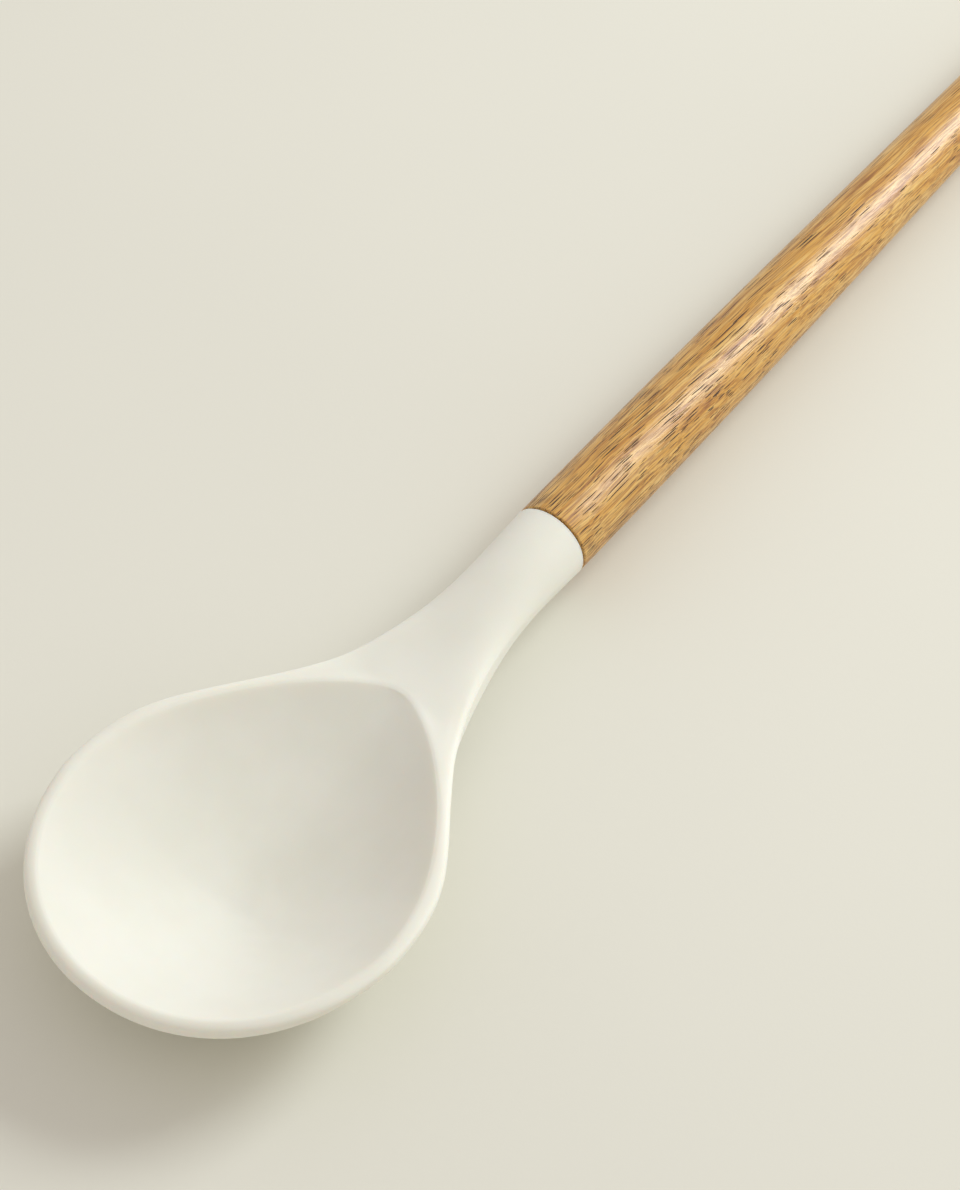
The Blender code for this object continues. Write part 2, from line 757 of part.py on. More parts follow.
def main():
    clear_scene()
    parts = collection("silicone_spoon")
    cutters = collection("cutters", helpers=True)
    rest = bpy.data.objects.new("rest", None)
    parts.objects.link(rest)
    silicone = material("moulded_silicone", SILICONE_COLOUR, 0.6)
    nylon = material("glass_filled_nylon", CORE_COLOUR, 0.55)
    steel = material("stainless_steel", STEEL_COLOUR, 0.3, metallic=1.0)
    wood = material("varnished_hardwood", WOOD_COLOUR, 0.4)

    head = head_cage("silicone_head", parts, rest, silicone)
    core = core_cage("head_core", parts, rest, nylon, CORE_SET_BACK)
    rod = turned("tang_rod", parts, rest, steel, rod_profile(), ROD_STEPS)
    handle = turned("wooden_handle", parts, rest, wood, handle_profile(), TURNED_STEPS)

    bond_radius = BOND_HOLE_DIAMETER / 2
    holes = bond_cutter("bond_holes", cutters, rest, bond_radius)
    pegs = bond_cutter("bond_pegs", cutters, rest, bond_radius - MOULD_GAP)
    bore = turned("core_bore", cutters, rest, None, core_bore_profile(), ROD_STEPS)
    pocket = core_cage("core_pocket", cutters, rest, None, -2 * MOULD_GAP)
    swell = pocket.modifiers.new("mould_gap", "DISPLACE")
    swell.strength = MOULD_GAP
    swell.mid_level = 0
    boolean(pocket, pegs)
    boolean(core, holes)
    boolean(core, bore)
    boolean(head, pocket)
    lay_down(rest, head, handle)


main()
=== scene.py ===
"""Silicone cooking spoon with a turned wooden handle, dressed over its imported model.

The head is one flowing skin, grown ring by ring as a cage and smoothed by subdivision. The handle is a
turned profile. Both are drawn lying along X with the joint at x = 0 and the bowl's tip at +X, and are then
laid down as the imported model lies, which the flat on the handle's end gives. Units are metres, +Z up.
"""

import json
import math

import bmesh
import bpy
import numpy as np
from bpy.props import FloatProperty, FloatVectorProperty, IntProperty, PointerProperty
from mathutils import Matrix, Vector


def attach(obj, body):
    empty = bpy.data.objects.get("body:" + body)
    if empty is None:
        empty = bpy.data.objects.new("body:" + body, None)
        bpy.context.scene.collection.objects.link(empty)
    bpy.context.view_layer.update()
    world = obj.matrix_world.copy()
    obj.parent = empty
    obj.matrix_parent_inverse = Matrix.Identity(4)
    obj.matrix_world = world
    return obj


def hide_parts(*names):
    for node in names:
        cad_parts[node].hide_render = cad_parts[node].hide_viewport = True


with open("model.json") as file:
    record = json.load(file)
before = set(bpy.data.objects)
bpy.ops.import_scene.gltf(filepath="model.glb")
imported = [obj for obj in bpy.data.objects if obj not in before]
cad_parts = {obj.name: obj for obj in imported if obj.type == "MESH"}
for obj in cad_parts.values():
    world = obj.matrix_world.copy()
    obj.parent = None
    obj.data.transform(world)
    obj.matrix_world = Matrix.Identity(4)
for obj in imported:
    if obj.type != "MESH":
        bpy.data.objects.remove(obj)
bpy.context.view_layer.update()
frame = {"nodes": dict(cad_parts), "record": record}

bl_info = {
    "name": "Silicone spoon",
    "version": (1, 0, 0),
    "blender": (4, 5, 0),
    "location": "3D View > Sidebar > Spoon",
    "description": "Builds a silicone cooking spoon with a wooden handle, and the table it lies on",
    "category": "Add Mesh",
}

BUTT = frame["record"]["mounts"][0]

# The photograph, in its own pixels: its height, its lens, and the joint counted from its middle
PHOTO_HEIGHT = 1190
PHOTO_LENS = 6229.94
PHOTO_JOINT_RIGHT = 70.35
PHOTO_JOINT_UP = 54.02


def linear(code):
    """A colour written as sRGB hex, as linear red, green and blue."""
    values = [int(code[i : i + 2], 16) / 255 for i in (1, 3, 5)]
    return tuple(v / 12.92 if v <= 0.04045 else ((v + 0.055) / 1.055) ** 2.4 for v in values)


def opaque(colour):
    return (*colour[:3], 1.0)


# The kinds of value that a user can change


def length(name, description, default):
    return FloatProperty(name=name, description=description, default=default, min=0.0, unit="LENGTH")


def share(name, description, default):
    return FloatProperty(name=name, description=description, default=default, min=0.0, max=1.0)


def tilt(name, description, degrees):
    return FloatProperty(name=name, description=description, default=math.radians(degrees), unit="ROTATION")


def in_photo(name, description, pixels):
    """A length in the photograph, as a share of its height."""
    return FloatProperty(name=name, description=description, default=pixels / PHOTO_HEIGHT)


def tint(name, description, code):
    return FloatVectorProperty(
        name=name, description=description, default=linear(code), subtype="COLOR", min=0.0, max=1.0
    )


# Sizes and colours that a user would change


class SpoonHeadSettings(bpy.types.PropertyGroup):
    head_length: length("Head length", "From the joint to the bowl's tip", 0.1260)
    bowl_width: length("Bowl width", "Across the bowl at its widest", 0.0700)
    widest_at: length("Widest at", "From the joint to the bowl's widest place", 0.0898)
    collar_diameter: length("Collar diameter", "Across the collar at the joint", 0.0148)
    collar_length: length("Collar length", "The straight stretch at the joint", 0.0103)
    neck_diameter: length("Neck diameter", "Across the neck at its slimmest", 0.0145)
    hollow_start: length("Hollow start", "From the joint to where the bowl's hollow begins", 0.0447)
    rim_width: length("Rim width", "From the hollow's edge to the outside of the rim", 0.00296)
    tip_height: length("Tip height", "How far the rim rises towards the tip", 0.0004)
    rim_arch: length("Rim arch", "How far the rim bows up between neck and tip", 0.0025)
    rim_edge: length("Rim edge", "How wide the rim's outer round is", 0.0010)
    rim_rise: length("Rim rise", "From the rim's widest line up to its top", 0.00146)
    rim_fillet: length("Rim fillet", "Radius between the rim's top and the hollow", 0.0022)
    bowl_depth: length("Bowl depth", "From the rim's top to the bowl's floor", 0.0158)
    floor_wall: length("Wall", "Thickness of the bowl's floor", 0.0034)
    neck_depth: length("Neck depth", "Thickness of the neck's end below its widest line", 0.0064)
    collar_edge: length("Collar edge", "Radius of the collar's edge at the joint", 0.0004)
    levels: IntProperty(name="Smoothing", description="Subdivision levels", default=3, min=1, max=4)
    colour: tint("Silicone", "Colour of the silicone", "#EAE9DE")
    shade: tint("Silicone shade", "Its faint darker mottle", "#E7E6DA")


class SpoonHandleSettings(bpy.types.PropertyGroup):
    handle_length: length("Handle length", "From the joint to the end", 0.2030)
    full_at: length("Full at", "Where the outline's first handle pulls", 0.0850)
    full_diameter: length("Full diameter", "What it pulls the outline towards", 0.0150)
    slim_at: length("Slim at", "Where the outline's second handle pulls", 0.1450)
    slim_diameter: length("Slim diameter", "What it pulls the outline towards", 0.0095)
    butt_diameter: length("Butt diameter", "Across the end, before its rounding", 0.0107)
    butt_round: length("Butt round", "Radius of the end's edge", 0.0026)
    joint_gap: length("Joint gap", "Between the collar and the handle's face", 0.00035)
    joint_edge: length("Joint edge", "Radius of the handle's edge at the joint", 0.0003)
    bore_diameter: length("Bore diameter", "Across the bore for the rod", 0.0056)
    bore_length: length("Bore length", "The bore's full width ends here", 0.0428)
    bore_point: length("Bore point", "Length of the drill's point", 0.00168)
    grain_slope: tilt("Grain slope", "Angle of the grain to the handle", -3.5)
    light_colour: tint("Light wood", "The palest early wood", "#E8C070")
    body_colour: tint("Body wood", "The wood's main colour", "#D59E3D")
    dark_colour: tint("Dark wood", "The darker late wood", "#B1711C")
    pore_colour: tint("Pores", "The open pores along the grain", "#2B1306")


class SpoonInsideSettings(bpy.types.PropertyGroup):
    nylon_colour: tint("Nylon", "Colour of the core inside the head", "#8C8C89")
    steel_colour: tint("Steel", "Colour of the rod in the joint", "#BDBDBF")


class SpoonStageSettings(bpy.types.PropertyGroup):
    turn: tilt("Turn", "The handle's angle to the picture's width", 53.17)
    height: tilt("Height", "The camera's angle above the table", 52.63)
    distance: length("Distance", "From the camera to the joint, along its view", 1.100)
    lens: in_photo("Lens", "Focal length in picture heights", PHOTO_LENS)
    joint_right: in_photo("Joint right", "Joint from the middle, in picture heights", PHOTO_JOINT_RIGHT)
    joint_up: in_photo("Joint up", "Joint from the middle, in picture heights", PHOTO_JOINT_UP)
    floor_colour: tint("Table", "Colour of the table", "#E6E4D7")
    key_turn: tilt("Key turn", "The lamp's angle from the picture's right", 32)
    key_height: tilt("Key height", "The lamp's angle above the table", 34)
    key_distance: length("Key distance", "From the lamp to the spoon", 1.3)
    key_size: length("Key size", "Side of the lamp's soft box", 0.55)
    key_spread: tilt("Key spread", "How wide the grid on the soft box lets its light fan out", 100)
    key_share: share("Key share", "Share of the table's light that the lamp gives", 0.446)
    key_colour: tint("Key colour", "The lamp, a little cooler than the room", "#F5FCFF")
    fill_share: share("Fill share", "Share that comes from all round", 0.65)
    fill_colour: tint("Fill colour", "The room's light, a little warm from its walls", "#FFF9F6")


# Where the spoon lies


def resting_frame(handle_length):
    """The matrix that lays the drawn spoon down: its joint and its slope come from the flat on the end."""
    axis = Vector(BUTT["axis"])
    joint = Vector(BUTT["pos_m"]) - axis * handle_length
    across = Vector((0, -1, 0))
    up = -axis.cross(across)
    turn = Matrix((-axis, across, up)).transposed()
    return Matrix.Translation(joint) @ turn.to_4x4()


# Curves

# A search halves its range this often, and a curve's direction is taken over this much to each side
HALVINGS = 40
DIRECTION_STEP = 1e-3


def mix(a, b, part):
    return a + (b - a) * part


def smoothstep(value, low, high):
    part = min(max((value - low) / (high - low), 0.0), 1.0)
    return part * part * (3 - 2 * part)


def bezier(points, s):
    a, b, c, d = points
    r = 1 - s
    return a * r**3 + b * 3 * r * r * s + c * 3 * r * s * s + d * s**3


def bisect(low, high, is_low):
    """The place between low and high where is_low turns false."""
    for _ in range(HALVINGS):
        middle = (low + high) / 2
        if is_low(middle):
            low = middle
        else:
            high = middle
    return (low + high) / 2


# The cage: vertices round a ring, faces along a side of the grids in its middle, and along half a side
RING = 32
SIDE = RING // 4
HALF_SIDE = SIDE // 2
# How much closer the ring's places lie round the hollow's nose
NOSE_CROWDING = 0.38
# How far out the grids reach, and the rows inside and under the bowl, as shares of the way to its edge
GRID_REACH = 0.45
HOLLOW_ROWS = (0.63, 0.80, 0.93, 1.0)
UNDER_ROWS = (1.0, 0.93, 0.81, 0.64)
# Rows down from the rim's top at which the neck's root ends
ROOT_ROW = 6
# Where the neck's underside starts to swell into the bowl, as a share of the way to the hollow
SWELL_START = 0.60
# The neck's rings: each one's share of the way to the hollow, and how much of the bowl's form it keeps
NECK_STATIONS = (
    (0.93, 0.66),
    (0.86, 0.33),
    (0.77, 0.10),
    (0.65, 0.0),
    (0.50, 0.0),
    (0.34, 0.0),
    (0.18, 0.0),
)


def wrap(k):
    """A ring place as a signed number, with the neck at 0."""
    return (k + RING / 2) % RING - RING / 2


class HeadForm:
    """The head's curves, drawn lying along X: its plan, its rim line and its thickness."""

    # How far each end of an outline's curve pulls, as a share of its stretch
    NECK_HOLD = 0.611
    SHOULDER_HOLD = 0.368
    CHEEK_HOLD = 0.528
    TIP_HOLD = 0.604
    NOSE_HOLD = 0.278
    NOSE_SHOULDER_HOLD = 0.452
    # Powers of the bowl's section: its inside, its outside, and how gently the outside leaves the rim
    HOLLOW_FULLNESS = 1.62
    UNDER_FULLNESS = 2.2
    UNDER_LIP = 0.85
    # The slopes at which the rim's rounds meet the hollow and the underside
    INNER_SLOPE = math.radians(40)
    OUTER_SLOPE = math.radians(45)
    # Where the neck's section starts and stops sharpening above, as shares of the way to the hollow
    SOFT_UNTIL = 0.45
    SHARP_FROM = 1.15

    def __init__(self, sizes):
        self.sizes = sizes
        length, widest = sizes.head_length, sizes.widest_at
        half, neck = sizes.bowl_width / 2, sizes.neck_diameter / 2
        flare = widest - sizes.collar_length
        tip = length - widest
        self.flare = (
            Vector((sizes.collar_length, neck)),
            Vector((sizes.collar_length + self.NECK_HOLD * flare, neck)),
            Vector((widest - self.SHOULDER_HOLD * flare, half)),
            Vector((widest, half)),
        )
        self.cheek = (
            Vector((widest, half)),
            Vector((widest + self.CHEEK_HOLD * tip, half)),
            Vector((length, self.TIP_HOLD * half)),
            Vector((length, 0)),
        )
        half -= sizes.rim_width
        start, end = sizes.hollow_start, length - sizes.rim_width
        self.hollow_nose = (
            Vector((start, 0)),
            Vector((start, self.NOSE_HOLD * half)),
            Vector((widest - self.NOSE_SHOULDER_HOLD * (widest - start), half)),
            Vector((widest, half)),
        )
        self.hollow_cheek = (
            Vector((widest, half)),
            Vector((widest + self.CHEEK_HOLD * (end - widest), half)),
            Vector((end, self.TIP_HOLD * half)),
            Vector((end, 0)),
        )
        self.centre = Vector((widest, 0))
        self.tuck = sizes.rim_edge * (1 - math.cos(self.OUTER_SLOPE))

    def half_width(self, x):
        """Half the head's width, at a distance from the joint."""
        sizes = self.sizes
        collar, neck = sizes.collar_diameter / 2, sizes.neck_diameter / 2
        if x <= sizes.collar_length:
            return mix(collar, neck, smoothstep(x, 0, sizes.collar_length))
        if x >= sizes.head_length:
            return 0.0
        curve = self.flare if x < sizes.widest_at else self.cheek
        s = bisect(0.0, 1.0, lambda s: bezier(curve, s).x < x)
        return bezier(curve, s).y

    def hollow_edge(self, k):
        """The hollow's edge at a ring place, and the direction out of the hollow there."""
        k = wrap(k)
        side = -1.0 if k < 0 else 1.0
        quarter = RING / 4
        part = abs(k) / quarter
        if part <= 1:
            curve, s = self.hollow_nose, part * mix(1 - NOSE_CROWDING, 1, part)
        else:
            curve, s = self.hollow_cheek, part - 1
        low, high = max(s - DIRECTION_STEP, 0.0), min(s + DIRECTION_STEP, 1.0)
        along = bezier(curve, high) - bezier(curve, low)
        point = bezier(curve, s)
        out = Vector((-along.y, along.x)).normalized()
        return Vector((point.x, point.y * side)), Vector((out.x, out.y * side))

    def wall_at(self, k):
        """The rim's whole width at a ring place."""
        rim = self.sizes.rim_width
        if abs(wrap(k)) < HALF_SIDE:
            return rim
        edge, out = self.hollow_edge(k)

        def inside(reach):
            point = edge + out * reach
            return abs(point.y) < self.half_width(point.x)

        return bisect(0.0, 4 * rim, inside)

    def rim_line(self, x):
        """Height of the widest line of the rim and neck."""
        sizes = self.sizes
        start = sizes.hollow_start
        part = min(max((x - start) / (sizes.head_length - start), 0.0), 1.0)
        rise = sizes.tip_height * part + 4 * sizes.rim_arch * part * (1 - part)
        return rise * smoothstep(x, 0, start)

    def above(self, x):
        """How far the neck's top stands over its widest line."""
        sizes = self.sizes
        return mix(sizes.collar_diameter / 2, sizes.rim_rise, smoothstep(x, 0, sizes.hollow_start))

    def below(self, x):
        """How far the underside hangs below the widest line, along the middle of neck and bowl."""
        sizes = self.sizes
        reach = sizes.widest_at - sizes.hollow_start + sizes.rim_width - self.tuck
        share, step = UNDER_ROWS[-1], 0.01
        root = sizes.widest_at - share * reach
        if x > root:
            return self.under_depth((sizes.widest_at - x) / reach)
        # A power curve that meets the bowl's underside at the neck's root, with its depth and slope there
        swell = self.under_depth(share) - sizes.neck_depth
        slope = (self.under_depth(share - step) - self.under_depth(share)) / (step * reach)
        start = SWELL_START * sizes.hollow_start
        part = max(x - start, 0.0) / (root - start)
        straight = mix(sizes.collar_diameter / 2, sizes.neck_depth, smoothstep(x, 0, sizes.hollow_start))
        return straight + swell * part ** (slope * (root - start) / swell)

    def bowl_share(self, plan, part, margin):
        """How far out a place of the bowl counts: by the egg-shaped edge, and in the middle by an ellipse."""
        sizes = self.sizes
        along = plan.x - sizes.widest_at
        if along < 0:
            reach = sizes.widest_at - sizes.hollow_start
        else:
            reach = sizes.head_length - sizes.rim_width - sizes.widest_at
        half = sizes.bowl_width / 2 - sizes.rim_width
        even = math.hypot(along / (reach + margin), plan.y / (half + margin))
        return min(mix(even, part, part * part), 1.0)

    def hollow_point(self, k, part):
        """A point of the bowl's inside, from 0 at its middle to 1 at the hollow's edge."""
        sizes = self.sizes
        edge, _ = self.hollow_edge(k)
        plan = self.centre + (edge - self.centre) * part
        lip = sizes.rim_fillet * (1 - math.cos(self.INNER_SLOPE))
        out_by = self.bowl_share(plan, part, 0.0)
        floor = lip + (sizes.bowl_depth - lip) * (1 - out_by**self.HOLLOW_FULLNESS)
        return Vector((plan.x, plan.y, self.rim_line(plan.x) + sizes.rim_rise - floor))

    def under_depth(self, out_by):
        """How deep the bowl's outside lies below its widest line, from 0 at its middle to 1 at its edge."""
        sizes = self.sizes
        lip = sizes.rim_rise * math.sin(self.OUTER_SLOPE)
        dome = (1 - out_by**self.UNDER_FULLNESS) ** self.UNDER_LIP
        return lip + (sizes.bowl_depth + sizes.floor_wall - sizes.rim_rise - lip) * dome

    def under_point(self, k, part):
        """A point of the bowl's outside, from 0 at its middle to 1 where the rim's outer round ends."""
        edge, out = self.hollow_edge(k)
        plan = self.centre + (edge + out * (self.wall_at(k) - self.tuck) - self.centre) * part
        depth = self.under_depth(self.bowl_share(plan, part, self.sizes.rim_width - self.tuck))
        return Vector((plan.x, plan.y, self.rim_line(plan.x) - depth))

    def rim_point(self, k, out_by, height):
        """A point of the rim, by its distance out from the hollow's edge and height over the widest line."""
        edge, out = self.hollow_edge(k)
        plan = edge + out * out_by
        return Vector((plan.x, plan.y, self.rim_line(plan.x) + height))

    def fillet_point(self, k, turn):
        """A point between hollow and rim, from 1 at the hollow's edge to 0 at the rim's top."""
        radius, angle = self.sizes.rim_fillet, self.INNER_SLOPE * turn
        out_by = radius * (math.sin(self.INNER_SLOPE) - math.sin(angle))
        return self.rim_point(k, out_by, self.sizes.rim_rise - radius * (1 - math.cos(angle)))

    def round_rim(self, k, turn):
        """A point of the rim's outer round, from 0 at its top to 1 at the widest line."""
        angle = turn * math.pi / 2
        out_by = self.wall_at(k) - self.sizes.rim_edge * (1 - math.sin(angle))
        return self.rim_point(k, out_by, self.sizes.rim_rise * math.cos(angle))

    def neck_ring(self, x, angles):
        """A ring of the neck before the bowl bends it: x, side share and height share of each place."""
        half, start = self.half_width(x), self.sizes.hollow_start
        # Round at the collar and flatter towards the bowl, where it stays softer above than below
        above = smoothstep(x, self.SOFT_UNTIL * start, self.SHARP_FROM * start)
        below = smoothstep(x, self.sizes.collar_length, start)
        ring = []
        for angle in angles:
            across, up = math.cos(angle), math.sin(angle)
            corner = mix(half, 2 * self.sizes.rim_edge, above if up > 0 else below)
            power = min(corner / half, 1.0)
            side = math.copysign(abs(across) ** power, across)
            ring.append((x, side, math.copysign(abs(up) ** power, up)))
        return ring

    def as_shares(self, point):
        """A point as its x and its shares of the half width and of the height there."""
        height = point.z - self.rim_line(point.x)
        reach = self.above(point.x) if height > 0 else self.below(point.x)
        return point.x, point.y / self.half_width(point.x), height / reach

    def from_shares(self, x, side, height):
        """The point that such shares stand for."""
        reach = self.above(x) if height > 0 else self.below(x)
        return Vector((x, side * self.half_width(x), self.rim_line(x) + height * reach))


# Growing a skin ring by ring


def grow(bm, loop, points):
    """Extrude a closed loop of vertices and put the new loop at the points."""
    edges = [bm.edges.get(pair) for pair in zip(loop, loop[1:] + loop[:1])]
    made = bmesh.ops.extrude_edge_only(bm, edges=edges)["geom"]
    fresh = {item for item in made if isinstance(item, bmesh.types.BMVert)}
    ring = []
    for vert, point in zip(loop, points):
        new = next(e.other_vert(vert) for e in vert.link_edges if e.other_vert(vert) in fresh)
        new.co = point
        ring.append(new)
    return ring


def grid_place(gx, gy):
    """Ring place and share of the grid's reach, for a grid corner counted from the middle."""
    level = max(abs(gx), abs(gy))
    if level == 0:
        return 0.0, 0.0
    unit = HALF_SIDE / level
    if gx == -level:
        k = gy * unit
    elif gy == level:
        k = HALF_SIDE + (gx + level) * unit
    elif gx == level:
        k = 3 * HALF_SIDE + (level - gy) * unit
    else:
        k = -HALF_SIDE - (gx + level) * unit
    return k, level / HALF_SIDE


def add_grid(bm, place, flip=False):
    """A square grid bent to a dish, and its outer vertices in ring order."""
    made = bmesh.ops.create_grid(bm, x_segments=SIDE, y_segments=SIDE, size=HALF_SIDE)["verts"]
    if flip:
        faces = {face for vert in made for face in vert.link_faces}
        bmesh.ops.reverse_faces(bm, faces=list(faces))
    ring = [None] * RING
    for vert in made:
        k, part = grid_place(round(vert.co.x), round(vert.co.y))
        vert.co = place(k, part)
        if part == 1.0:
            ring[round(k) % RING] = vert
    return ring


def open_side(bm, rows, first, last, half):
    """Cut the neck's hole between two rows, half places to each side, and return its edge as a loop."""
    width = range(-half, half + 1)
    region = {rows[row][k] for row in range(first, last + 1) for k in width}
    faces = [face for face in bm.faces if all(vert in region for vert in face.verts)]
    loop = [rows[first][k] for k in width]
    loop += [rows[row][half] for row in range(first + 1, last)]
    loop += [rows[last][k] for k in reversed(width)]
    loop += [rows[row][-half] for row in range(last - 1, first, -1)]
    bmesh.ops.delete(bm, geom=faces, context="FACES")
    return loop


def ring_angles(count, half):
    """Angles of a neck ring's vertices: across the top, down one side, back below and up the other."""
    step = 2 * math.pi / count
    start = math.pi / 2 + half * step
    return [start - step * i for i in range(count)]


def as_object(bm, name, made_of):
    """A finished skin as an object, with its faces turned outwards."""
    bmesh.ops.recalc_face_normals(bm, faces=bm.faces[:])
    mesh = bpy.data.meshes.new(name)
    bm.to_mesh(mesh)
    bm.free()
    mesh.materials.append(made_of)
    mesh.shade_smooth()
    obj = bpy.data.objects.new(name, mesh)
    bpy.context.scene.collection.objects.link(obj)
    return obj


def seat(obj, rounds=8):
    """Move the cage so that its smooth surface passes through the points it was drawn with."""
    cage = obj.data.vertices
    target = np.empty(len(cage) * 3)
    cage.foreach_get("co", target)
    current = target.copy()
    for _ in range(rounds):
        graph = bpy.context.evaluated_depsgraph_get()
        smooth = obj.evaluated_get(graph).data.vertices
        reached = np.empty(len(smooth) * 3)
        smooth.foreach_get("co", reached)
        current += target - reached[: len(target)]
        cage.foreach_set("co", current)
        obj.data.update()


def settle(obj):
    """Keep the smoothed skin as the object's own mesh."""
    cage = obj.data
    graph = bpy.context.evaluated_depsgraph_get()
    smooth = bpy.data.meshes.new_from_object(obj.evaluated_get(graph))
    smooth.name = obj.name
    obj.modifiers.clear()
    obj.data = smooth
    bpy.data.meshes.remove(cage)


def subdivide(obj, levels):
    modifier = obj.modifiers.get("smooth") or obj.modifiers.new("smooth", "SUBSURF")
    modifier.levels = levels
    modifier.render_levels = levels


# Materials


def node(tree, kind, values=(), stops=(), **settings):
    """Add a node, set its fields, and give each named input a value or another node's output."""
    made = tree.nodes.new("ShaderNode" + kind)
    for field, value in settings.items():
        setattr(made, field, value)
    for name, value in dict(values).items():
        if isinstance(value, bpy.types.NodeSocket):
            tree.links.new(value, made.inputs[name])
        else:
            made.inputs[name].default_value = value
    if stops:
        elements = made.color_ramp.elements
        while len(elements) < len(stops):
            elements.new(1.0)
        for element, (place, colour) in zip(elements, stops):
            element.position = place
            element.color = opaque(colour)
    return made


def new_material(name):
    """A new material, its node tree, its shader, and the place on the piece that its patterns read."""
    made = bpy.data.materials.new(name)
    made.use_nodes = True
    tree = made.node_tree
    return made, tree, tree.nodes["Principled BSDF"], node(tree, "TexCoord").outputs["Object"]


def darker(colour, part):
    return tuple(part * value for value in colour)


# Patterns on the silicone, in repeats a metre
MOTTLE = 70.0
RIPPLE = 260.0
BLAST = 2900.0


def moulded_silicone(settings):
    """White food-grade silicone from a blasted mould: dead matt, faintly waxy, a little light goes in."""
    made, tree, shader, place = new_material("moulded_silicone")
    # Mottle 14 mm across, barely a shade deep, so that the big plain surface isn't flat
    mottle = node(tree, "TexNoise", {"Vector": place, "Scale": MOTTLE, "Detail": 3.0, "Roughness": 0.5})
    tone = node(
        tree,
        "ValToRGB",
        {"Fac": mottle.outputs["Fac"]},
        stops=((0.35, settings.shade), (0.65, settings.colour)),
    )
    tree.links.new(tone.outputs["Color"], shader.inputs["Base Color"])
    # Its gloss drifts over 4 mm, from how it left the mould
    ripple = node(tree, "TexNoise", {"Vector": place, "Scale": RIPPLE, "Detail": 1.0})
    uneven = node(
        tree,
        "MapRange",
        {"Value": ripple.outputs["Fac"], "From Min": 0.3, "From Max": 0.7, "To Min": 0.6, "To Max": 0.7},
    )
    tree.links.new(uneven.outputs["Result"], shader.inputs["Roughness"])
    # The mould's blasted grain is about 0.1 mm: drawn at 0.35 mm, as fine as the picture can hold
    grain = node(tree, "TexNoise", {"Vector": place, "Scale": BLAST, "Detail": 2.0, "Roughness": 0.6})
    bump = node(tree, "Bump", {"Height": grain.outputs["Fac"], "Strength": 0.12, "Distance": 0.00006})
    tree.links.new(bump.outputs["Normal"], shader.inputs["Normal"])
    shader.inputs["IOR"].default_value = 1.41
    shader.inputs["Specular IOR Level"].default_value = 0.28
    # Light spreads about 2 mm through it, red furthest, so the shaded side of the rim glows warm
    shader.inputs["Subsurface Weight"].default_value = 0.7
    shader.inputs["Subsurface Radius"].default_value = (1.0, 0.8, 0.62)
    shader.inputs["Subsurface Scale"].default_value = 0.0026
    return made


# The wood's patterns, in millimetres along the grain and both ways across it
BANDS = (30.0, 1.1, 1.1)
FIBRES = (8.0, 0.25, 0.25)
LONG_PORE_CELLS = (13.0, 0.36, 0.36)
SHORT_PORE_CELLS = (8.0, 0.28, 0.28)
# How far a pore reaches from the middle of its cell, as a share of the cell, and where on the way out its
# soft edge starts
LONG_PORE_REACH = 0.29
SHORT_PORE_REACH = 0.27
PORE_EDGE = 0.85
# How dark the pores are, and how much duller than the varnish
PORE_DEPTH = 0.97
SHORT_PORE_DEPTH = 0.65
PORE_DULLNESS = 0.5
# The grain's waves, as waves in a millimetre and the millimetres that they push it
SLOW_WAVES = (0.025, 2.0)
SMALL_WAVES = (0.13, 0.3)
# In millimetres from the joint: the pores crowd most up to the one, and least from the other on
THICK_TO = 15.0
SPARSE_FROM = 90.0
# The shaded side of a fibre, and how strongly it shows
FIBRE_SHADE = "#A47F4C"
FIBRE_DEPTH = 0.7


